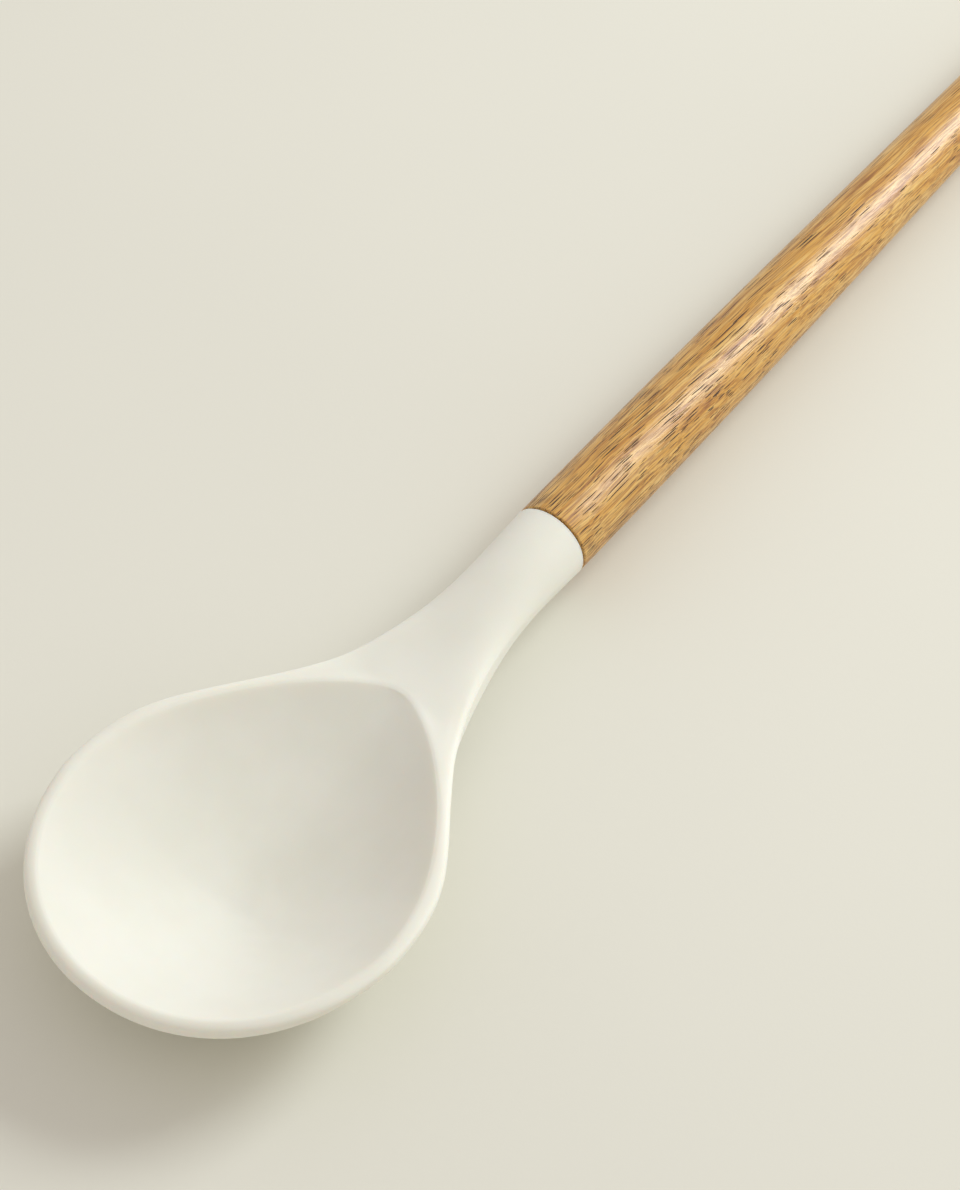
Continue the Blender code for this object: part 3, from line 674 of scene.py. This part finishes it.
def varnished_wood(settings, rest):
    """Open-pored golden hardwood, turned, sanded and varnished satin: silky fibres and dark pore flecks."""
    made, tree, shader, place = new_material("varnished_hardwood")
    # Into millimetres along the handle, then turned so that the grain runs out slowly at its side
    slope = math.atan2(-BUTT["axis"][2], BUTT["axis"][0])
    lying = {"Vector": place, "Location": rest.translation, "Rotation": (0, slope, 0), "Scale": (0.001,) * 3}
    along = node(tree, "Mapping", lying, vector_type="TEXTURE").outputs["Vector"]
    grain_turn = {"Vector": along, "Rotation": (0, 0, settings.grain_slope)}
    sloped = node(tree, "Mapping", grain_turn, vector_type="TEXTURE").outputs["Vector"]

    def waves(vector, per_mm, depth):
        """The same places, pushed across the grain by a noise."""
        noise = node(tree, "TexNoise", {"Vector": vector, "Scale": per_mm, "Detail": 2.0}).outputs["Color"]
        push = node(tree, "VectorMath", {0: noise, 1: (0.5, 0.5, 0.5)}, operation="SUBTRACT").outputs[0]
        push = node(tree, "VectorMath", {0: push, 1: (0.0, depth, depth)}, operation="MULTIPLY").outputs[0]
        return node(tree, "VectorMath", {0: vector, 1: push}, operation="ADD").outputs[0]

    # Slow waves 40 mm long and a third of a millimetre deep, and small ones 8 mm long on them
    grain = waves(waves(sloped, *SLOW_WAVES), *SMALL_WAVES)

    # Growth bands 1.1 mm wide, drawn out to 30 mm
    drawn = node(tree, "Mapping", {"Vector": grain, "Scale": BANDS}, vector_type="TEXTURE").outputs["Vector"]
    bands = node(tree, "TexNoise", {"Vector": drawn, "Scale": 1.0, "Detail": 4.0, "Roughness": 0.6})
    band = bands.outputs["Fac"]
    body = node(
        tree,
        "ValToRGB",
        {"Fac": band},
        stops=(
            (0.30, settings.dark_colour),
            (0.46, settings.body_colour),
            (0.58, mix(Vector(settings.body_colour), Vector(settings.light_colour), 0.5)),
            (0.74, settings.light_colour),
        ),
    )
    # Fibres 0.25 mm wide, drawn out to 8 mm
    drawn = node(tree, "Mapping", {"Vector": grain, "Scale": FIBRES}, vector_type="TEXTURE").outputs["Vector"]
    fibres = node(tree, "TexNoise", {"Vector": drawn, "Scale": 1.0, "Detail": 2.0, "Roughness": 0.6})
    fibre = fibres.outputs["Fac"]
    fibre_tone = node(
        tree, "ValToRGB", {"Fac": fibre}, stops=((0.38, linear(FIBRE_SHADE)), (0.56, linear("#FFFFFF")))
    )
    wood = node(
        tree,
        "Mix",
        {0: FIBRE_DEPTH, 6: body.outputs["Color"], 7: fibre_tone.outputs["Color"]},
        data_type="RGBA",
        blend_type="MULTIPLY",
    ).outputs[2]

    # Pores crowd where the band is dark, and thin out up the handle
    by_band = node(
        tree, "MapRange", {"Value": band, "From Min": 0.38, "From Max": 0.62, "To Min": 1.0, "To Max": 0.4}
    )
    from_joint = node(tree, "SeparateXYZ", {"Vector": along}).outputs["X"]
    by_place = node(
        tree,
        "MapRange",
        {"Value": from_joint, "From Min": THICK_TO, "From Max": SPARSE_FROM, "To Min": 1.3, "To Max": 0.3},
    )
    crowd = node(
        tree, "Math", {0: by_band.outputs["Result"], 1: by_place.outputs["Result"]}, operation="MULTIPLY"
    ).outputs[0]

    def pores(cell, reach):
        """Dark flecks: one in each chosen cell of a cell pattern drawn out along the grain."""
        drawn = node(tree, "Mapping", {"Vector": grain, "Scale": cell}, vector_type="TEXTURE")
        cells = node(tree, "TexVoronoi", {"Vector": drawn.outputs["Vector"], "Scale": 1.0}, feature="F1")
        distance, edge = cells.outputs["Distance"], PORE_EDGE * reach
        near = node(
            tree,
            "MapRange",
            {"Value": distance, "From Min": edge, "From Max": reach, "To Min": 1.0, "To Max": 0.0},
        )
        draw = node(tree, "SeparateColor", {"Color": cells.outputs["Color"]}).outputs["Red"]
        chosen = node(tree, "Math", {0: draw, 1: crowd}, operation="LESS_THAN").outputs[0]
        return node(tree, "Math", {0: near.outputs["Result"], 1: chosen}, operation="MULTIPLY").outputs[0]

    # Long pores up to 8 mm by 0.2 mm, and short finer ones between them
    long_pores = pores(LONG_PORE_CELLS, LONG_PORE_REACH)
    short_pores = pores(SHORT_PORE_CELLS, SHORT_PORE_REACH)
    short_pores = node(tree, "Math", {0: short_pores, 1: SHORT_PORE_DEPTH}, operation="MULTIPLY").outputs[0]
    flecks = node(tree, "Math", {0: long_pores, 1: short_pores}, operation="MAXIMUM").outputs[0]
    deep = node(tree, "Math", {0: flecks, 1: PORE_DEPTH}, operation="MULTIPLY").outputs[0]
    pore_tone = opaque(settings.pore_colour)
    colour = node(tree, "Mix", {0: deep, 6: wood, 7: pore_tone}, data_type="RGBA").outputs[2]
    tree.links.new(colour, shader.inputs["Base Color"])

    # The varnish is satin on the fibres, and dull where it has sunk into the pores
    gloss = node(
        tree, "MapRange", {"Value": fibre, "From Min": 0.35, "From Max": 0.65, "To Min": 0.46, "To Max": 0.33}
    )
    dull = node(tree, "Math", {0: flecks, 1: PORE_DULLNESS}, operation="MULTIPLY").outputs[0]
    rough = node(tree, "Math", {0: gloss.outputs["Result"], 1: dull}, operation="ADD").outputs[0]
    tree.links.new(rough, shader.inputs["Roughness"])
    relief = node(tree, "Math", {0: fibre, 1: flecks}, operation="SUBTRACT").outputs[0]
    bump = node(tree, "Bump", {"Height": relief, "Strength": 0.8, "Distance": 0.00008})
    tree.links.new(bump.outputs["Normal"], shader.inputs["Normal"])
    shader.inputs["IOR"].default_value = 1.5
    shader.inputs["Specular IOR Level"].default_value = 0.9
    shader.inputs["Coat Weight"].default_value = 0.2
    shader.inputs["Coat Roughness"].default_value = 0.25
    return made


# A glass fibre in the nylon, in metres along and across its flow, and how dark the nylon is between fibres
GLASS_FIBRE = (0.0009, 0.00025, 0.00025)
NYLON_SHADE = 0.75


def filled_nylon(settings):
    """Grey glass-filled nylon, moulded: matt, with short pale glass fibres in its skin."""
    made, tree, shader, place = new_material("glass_filled_nylon")
    flow = node(tree, "Mapping", {"Vector": place, "Scale": GLASS_FIBRE}, vector_type="TEXTURE")
    glass = node(tree, "TexNoise", {"Vector": flow.outputs["Vector"], "Scale": 1.0, "Detail": 3.0})
    tone = node(
        tree,
        "ValToRGB",
        {"Fac": glass.outputs["Fac"]},
        stops=((0.4, darker(settings.nylon_colour, NYLON_SHADE)), (0.62, settings.nylon_colour)),
    )
    tree.links.new(tone.outputs["Color"], shader.inputs["Base Color"])
    rough = node(tree, "MapRange", {"Value": glass.outputs["Fac"], "To Min": 0.5, "To Max": 0.7})
    tree.links.new(rough.outputs["Result"], shader.inputs["Roughness"])
    bump = node(tree, "Bump", {"Height": glass.outputs["Fac"], "Strength": 0.3, "Distance": 0.00005})
    tree.links.new(bump.outputs["Normal"], shader.inputs["Normal"])
    return made


# A tool mark on the rod, in metres along and round it, and how dark the steel is in its bottom
TOOL_MARK = (0.00015, 0.02, 0.02)
STEEL_SHADE = 0.82


def turned_steel(settings):
    """Stainless bar, turned: fine rings round it from the tool, a soft sheen along it."""
    made, tree, shader, place = new_material("turned_stainless_steel")
    rings = node(tree, "Mapping", {"Vector": place, "Scale": TOOL_MARK}, vector_type="TEXTURE")
    lines = node(tree, "TexNoise", {"Vector": rings.outputs["Vector"], "Scale": 1.0, "Detail": 2.0})
    tone = node(
        tree,
        "ValToRGB",
        {"Fac": lines.outputs["Fac"]},
        stops=((0.35, darker(settings.steel_colour, STEEL_SHADE)), (0.65, settings.steel_colour)),
    )
    tree.links.new(tone.outputs["Color"], shader.inputs["Base Color"])
    rough = node(tree, "MapRange", {"Value": lines.outputs["Fac"], "To Min": 0.22, "To Max": 0.42})
    tree.links.new(rough.outputs["Result"], shader.inputs["Roughness"])
    bump = node(tree, "Bump", {"Height": lines.outputs["Fac"], "Strength": 0.25, "Distance": 0.00003})
    tree.links.new(bump.outputs["Normal"], shader.inputs["Normal"])
    shader.inputs["Metallic"].default_value = 1.0
    return made


# Patterns on the table, in repeats a metre, and its darker tone
TABLE_DRIFT = 6.0
TABLE_TOOTH = 1800.0
TABLE_SHADE = 0.97


def painted_table(settings):
    """Pale matt painted board: a faint tooth, and tone that drifts a little over a hand's length."""
    made, tree, shader, place = new_material("painted_table")
    drift = node(tree, "TexNoise", {"Vector": place, "Scale": TABLE_DRIFT, "Detail": 2.0})
    tone = node(
        tree,
        "ValToRGB",
        {"Fac": drift.outputs["Fac"]},
        stops=((0.3, darker(settings.floor_colour, TABLE_SHADE)), (0.7, settings.floor_colour)),
    )
    tree.links.new(tone.outputs["Color"], shader.inputs["Base Color"])
    tooth = node(tree, "TexNoise", {"Vector": place, "Scale": TABLE_TOOTH, "Detail": 3.0})
    bump = node(tree, "Bump", {"Height": tooth.outputs["Fac"], "Strength": 0.08, "Distance": 0.0001})
    tree.links.new(bump.outputs["Normal"], shader.inputs["Normal"])
    shader.inputs["Roughness"].default_value = 0.85
    shader.inputs["Specular IOR Level"].default_value = 0.2
    return made


# Operators


class SPOON_OT_head(bpy.types.Operator):
    """Grow the silicone head: bowl, rim, neck and collar as one skin"""

    bl_idname = "spoon.head"
    bl_label = "Silicone head"

    def execute(self, context):
        sizes = context.scene.spoon_head
        form = HeadForm(sizes)
        bm = bmesh.new()
        # The bowl, from the middle of its hollow over the rim to the middle of its underside
        rows = [add_grid(bm, lambda k, part: form.hollow_point(k, part * GRID_REACH))]

        def add_rows(place, parts):
            """A row of the cage for each part, each grown from the last."""
            for part in parts:
                rows.append(grow(bm, rows[-1], [place(k, part) for k in range(RING)]))

        add_rows(form.hollow_point, HOLLOW_ROWS)
        add_rows(form.fillet_point, (0.5, 0.0))
        crest = len(rows) - 1
        add_rows(form.round_rim, (0.5, 1.0))
        add_rows(form.under_point, UNDER_ROWS)
        rows.append(add_grid(bm, lambda k, part: form.under_point(k, part * GRID_REACH), flip=True))
        facing = [bm.edges.get(pair) for row in rows[-2:] for pair in zip(row, row[1:] + row[:1])]
        bmesh.ops.bridge_loops(bm, edges=facing)

        # The neck, from a hole in the bowl's side, each ring a little less bent by the bowl
        loop = open_side(bm, rows, crest, crest + ROOT_ROW, HALF_SIDE)
        shares = [form.as_shares(vert.co) for vert in loop]
        angles = ring_angles(len(loop), HALF_SIDE)
        for place, left in NECK_STATIONS:
            straight = form.neck_ring(place * sizes.hollow_start, angles)
            ring = [
                form.from_shares(*(mix(a, b, left) for a, b in zip(drawn, bowl)))
                for drawn, bowl in zip(straight, shares)
            ]
            loop = grow(bm, loop, ring)
        # The collar: a ring that holds its side straight, three round its edge, one that holds its end flat
        edge, radius = sizes.collar_edge, sizes.collar_diameter / 2
        corner = edge * (1 - math.sqrt(0.5))
        for x, reach in (
            (edge * 3, radius),
            (edge, radius),
            (corner, radius - corner),
            (0.0, radius - edge),
            (0.0, radius - edge * 4),
        ):
            ring = [Vector((x, reach * math.cos(a), reach * math.sin(a))) for a in angles]
            loop = grow(bm, loop, ring)
        bmesh.ops.contextual_create(bm, geom=loop)
        obj = as_object(bm, "moulded_head", moulded_silicone(sizes))
        subdivide(obj, 1)
        seat(obj)
        subdivide(obj, sizes.levels)
        settle(obj)
        obj.data.transform(resting_frame(context.scene.spoon_handle.handle_length))
        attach(obj, "root")
        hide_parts("silicone_head")
        return {"FINISHED"}


# Steps of the handle's profile, at its two rounded edges and along its outline, and of its turning
EDGE_STEPS = 4
BUTT_STEPS = 10
OUTLINE_STEPS = 48
TURN_STEPS = 96
# Points closer than this are one, and faces that meet at more than this angle meet at an edge
MERGE_WITHIN = 1e-6
EDGE_ANGLE = math.radians(40)


def quarter_round(centre, radius, start, steps):
    """Points round a quarter circle from an angle, as (place along, distance from the axis)."""
    angles = [start + i / steps * math.pi / 2 for i in range(steps + 1)]
    return [(centre[0] + radius * math.cos(a), centre[1] + radius * math.sin(a)) for a in angles]


class SPOON_OT_handle(bpy.types.Operator):
    """Turn the wooden handle from its profile, with its bore"""

    bl_idname = "spoon.handle"
    bl_label = "Wooden handle"

    def execute(self, context):
        sizes = context.scene.spoon_handle
        face = -sizes.joint_gap
        collar = context.scene.spoon_head.collar_diameter / 2
        bore, edge = sizes.bore_diameter / 2, sizes.joint_edge
        butt, foot = sizes.butt_diameter / 2, -sizes.handle_length
        outline = (
            Vector((face - edge, collar)),
            Vector((-sizes.full_at, sizes.full_diameter / 2)),
            Vector((-sizes.slim_at, sizes.slim_diameter / 2)),
            Vector((foot + sizes.butt_round, butt)),
        )
        # Up the bore's point and wall, over the face and its edge, along the outside, and round the end
        profile = [(-sizes.bore_length - sizes.bore_point, 0.0), (-sizes.bore_length, bore)]
        profile += [(face - edge, bore), (face, bore + edge)]
        profile += quarter_round((face - edge, collar - edge), edge, 0.0, EDGE_STEPS)[:-1]
        profile += [tuple(bezier(outline, i / OUTLINE_STEPS)) for i in range(OUTLINE_STEPS + 1)]
        end = (foot + sizes.butt_round, butt - sizes.butt_round)
        profile += quarter_round(end, sizes.butt_round, math.pi / 2, BUTT_STEPS)[1:]
        profile.append((foot, 0.0))
        bm = bmesh.new()
        line = [bm.verts.new((x, 0.0, r)) for x, r in profile]
        edges = [bm.edges.new(pair) for pair in zip(line, line[1:])]
        bmesh.ops.spin(
            bm,
            geom=line + edges,
            cent=(0, 0, 0),
            axis=(1, 0, 0),
            angle=2 * math.pi,
            steps=TURN_STEPS,
            use_merge=True,
        )
        bmesh.ops.remove_doubles(bm, verts=bm.verts[:], dist=MERGE_WITHIN)
        rest = resting_frame(sizes.handle_length)
        bmesh.ops.transform(bm, matrix=rest, verts=bm.verts[:])
        obj = as_object(bm, "turned_handle", varnished_wood(sizes, rest))
        obj.data.set_sharp_from_angle(angle=EDGE_ANGLE)
        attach(obj, "root")
        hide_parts("wooden_handle")
        return {"FINISHED"}


class SPOON_OT_inside(bpy.types.Operator):
    """Give the core and the rod inside the joint their finishes"""

    bl_idname = "spoon.inside"
    bl_label = "Core and rod"

    def execute(self, context):
        settings = context.scene.spoon_inside
        for name, made in (("head_core", filled_nylon(settings)), ("tang_rod", turned_steel(settings))):
            for slot in frame["nodes"][name].material_slots:
                slot.material = made
        return {"FINISHED"}


# Half the table's side, the film's width in millimetres, and the place that the lamp points at
TABLE_REACH = 3.0
FILM_WIDTH = 36.0
LAMP_AIM = Vector((-0.06, 0, 0))


class SPOON_OT_stage(bpy.types.Operator):
    """Lay out the table, the soft light and the camera"""

    bl_idname = "spoon.stage"
    bl_label = "Table, light and camera"

    def execute(self, context):
        settings = context.scene.spoon_stage
        scene = context.scene
        bm = bmesh.new()
        bmesh.ops.create_grid(bm, x_segments=1, y_segments=1, size=TABLE_REACH)
        table = as_object(bm, "table", painted_table(settings))

        # The camera stands where the joint falls on its place in the photograph
        turn, height = settings.turn, settings.height
        right = Vector((math.cos(turn), -math.sin(turn), 0))
        ahead = Vector((math.sin(turn), math.cos(turn), 0))
        view = ahead * math.cos(height) - Vector((0, 0, math.sin(height)))
        up = right.cross(view)
        joint = resting_frame(context.scene.spoon_handle.handle_length).translation
        reach = settings.distance / settings.lens
        camera = bpy.data.cameras.new("camera")
        camera.sensor_width = FILM_WIDTH
        camera.lens = settings.lens * FILM_WIDTH
        camera.clip_start, camera.clip_end = 0.01, 20.0
        eye = bpy.data.objects.new("camera", camera)
        back = view * settings.distance
        aside = right * settings.joint_right * reach
        upward = up * settings.joint_up * reach
        eye.location = joint - back - aside - upward
        eye.rotation_euler = Matrix((right, up, -view)).transposed().to_euler()
        scene.collection.objects.link(eye)
        scene.camera = eye

        # One soft box, to the right of the spoon and beyond it
        side = right * math.cos(settings.key_turn) + ahead * math.sin(settings.key_turn)
        towards = side * math.cos(settings.key_height) + Vector((0, 0, math.sin(settings.key_height)))
        lamp = bpy.data.lights.new("soft_box", "AREA")
        lamp.size = settings.key_size
        lamp.color = settings.key_colour
        lamp.spread = settings.key_spread
        # The power that gives a level table its share of the light at this distance. The grid gathers the
        # light in a beam that is brighter on its axis, so the power comes down by as much.
        half = settings.key_spread / 2
        beam = math.tan(half) / (math.tan(half) - half)
        rise = math.sin(settings.key_height)
        lamp.energy = settings.key_share * math.pi**2 * settings.key_distance**2 / rise / beam
        key = bpy.data.objects.new("soft_box", lamp)
        key.location = LAMP_AIM + towards * settings.key_distance
        key.rotation_euler = towards.to_track_quat("Z", "Y").to_euler()
        scene.collection.objects.link(key)

        # The room's own light, even from all round
        world = bpy.data.worlds.new("room")
        world.use_nodes = True
        sky = world.node_tree.nodes["Background"]
        sky.inputs["Color"].default_value = opaque(settings.fill_colour)
        sky.inputs["Strength"].default_value = settings.fill_share
        scene.world = world
        scene.view_settings.view_transform = "Standard"
        return {"FINISHED"}


class SPOON_PT_panel(bpy.types.Panel):
    """The spoon's pieces, in the order they are made"""

    bl_idname = "SPOON_PT_panel"
    bl_label = "Spoon"
    bl_space_type = "VIEW_3D"
    bl_region_type = "UI"
    bl_category = "Spoon"

    def draw(self, context):
        for group, operator in STEPS:
            box = self.layout.box()
            box.operator(operator)
            settings = getattr(context.scene, group)
            for name in settings.__annotations__:
                box.prop(settings, name)


STEPS = (
    ("spoon_head", "spoon.head"),
    ("spoon_handle", "spoon.handle"),
    ("spoon_inside", "spoon.inside"),
    ("spoon_stage", "spoon.stage"),
)
GROUPS = {
    "spoon_head": SpoonHeadSettings,
    "spoon_handle": SpoonHandleSettings,
    "spoon_inside": SpoonInsideSettings,
    "spoon_stage": SpoonStageSettings,
}
CLASSES = (
    *GROUPS.values(),
    SPOON_OT_head,
    SPOON_OT_handle,
    SPOON_OT_inside,
    SPOON_OT_stage,
    SPOON_PT_panel,
)


def register():
    for made in CLASSES:
        bpy.utils.register_class(made)
    for name, group in GROUPS.items():
        setattr(bpy.types.Scene, name, PointerProperty(type=group))


def unregister():
    for name in GROUPS:
        delattr(bpy.types.Scene, name)
    for made in reversed(CLASSES):
        bpy.utils.unregister_class(made)


def main():
    register()
    bpy.ops.spoon.head()
    bpy.ops.spoon.handle()
    bpy.ops.spoon.inside()
    bpy.ops.spoon.stage()


if __name__ == "__main__":
    main()
